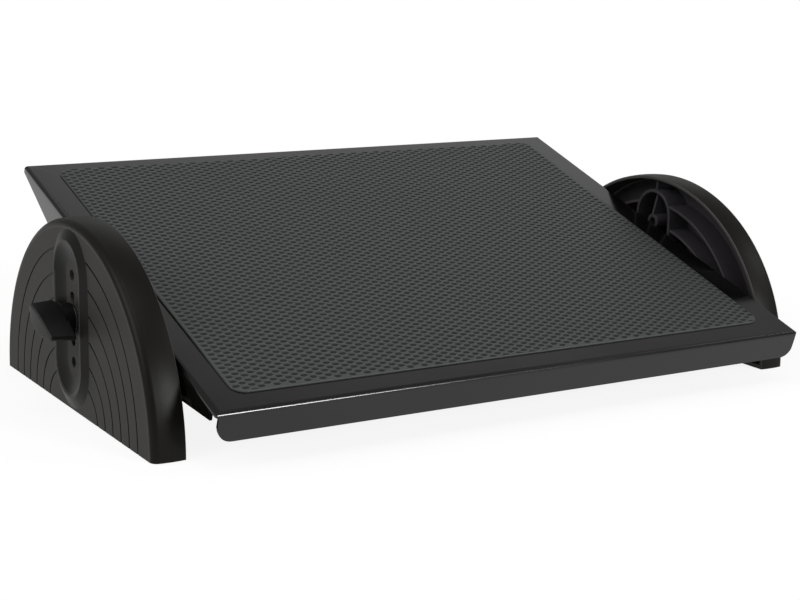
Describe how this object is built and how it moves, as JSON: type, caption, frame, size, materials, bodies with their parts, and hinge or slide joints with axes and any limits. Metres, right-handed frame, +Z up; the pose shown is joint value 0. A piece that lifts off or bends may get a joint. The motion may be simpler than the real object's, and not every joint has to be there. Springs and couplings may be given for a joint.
{
  "type": "under desk footrest",
  "caption": "Under desk footrest: a folded steel plate with a textured rubber mat tilts between half-round side supports, clamped by wing knobs in a choice of height holes.",
  "frame": {"origin": "on the floor under the middle of the whole footrest", "axes": "+X to the user's right along the tilt axis, +Y away from the user, +Z up"},
  "size_m": [0.5468, 0.3192, 0.1389],
  "materials": {
    "plate": "satin dark grey powder coat",
    "mat": "textured, with staggered oblong dimples",
    "support": "satin moulded black plastic",
    "knob": "smooth black plastic",
    "zinc": "zinc plated",
    "nylon": "natural nylon",
    "pad": "matt"
  },
  "bodies": {
    "base": {"left_side_support": "support", "right_side_support": "support", "left_front_foot_pad": "pad", "left_rear_foot_pad": "pad", "right_front_foot_pad": "pad", "right_rear_foot_pad": "pad", "left_friction_washer": "nylon", "right_friction_washer": "nylon"},
    "platform": {"footplate": "plate", "foot_mat": "mat", "left_weld_nut": "zinc", "right_weld_nut": "zinc"},
    "left_washer": {"left_knob_washer": "zinc"},
    "left_knob": {"left_knob": "knob", "left_knob_stud": "zinc"},
    "right_washer": {"right_knob_washer": "zinc"},
    "right_knob": {"right_knob": "knob", "right_knob_stud": "zinc"}
  },
  "joints": [
    {"name": "platform_tilt", "type": "hinge", "parent": "base", "child": "platform", "pos_m": [0, 0.00517, 0.061], "axis": [1, 0, 0], "range_deg": [-45.5, 6.5]},
    {"name": "left_knob_travel", "type": "slide", "parent": "base", "child": "left_washer", "axis": [-1, 0, 0], "range_m": [0, 0.00075]},
    {"name": "left_knob_turn", "type": "hinge", "parent": "left_washer", "child": "left_knob", "pos_m": [-0.25795, 0.00517, 0.061], "axis": [-1, 0, 0], "range_deg": [0, 270]},
    {"name": "right_knob_travel", "type": "slide", "parent": "base", "child": "right_washer", "axis": [1, 0, 0], "range_m": [0, 0.00075]},
    {"name": "right_knob_turn", "type": "hinge", "parent": "right_washer", "child": "right_knob", "pos_m": [0.25795, 0.00517, 0.061], "axis": [1, 0, 0], "range_deg": [0, 270]}
  ],
  "couplings": [
    {"joint": "left_knob_turn", "follows": "left_knob_travel", "rad_per_m": 6283.2},
    {"joint": "right_knob_turn", "follows": "right_knob_travel", "rad_per_m": 6283.2}
  ]
}
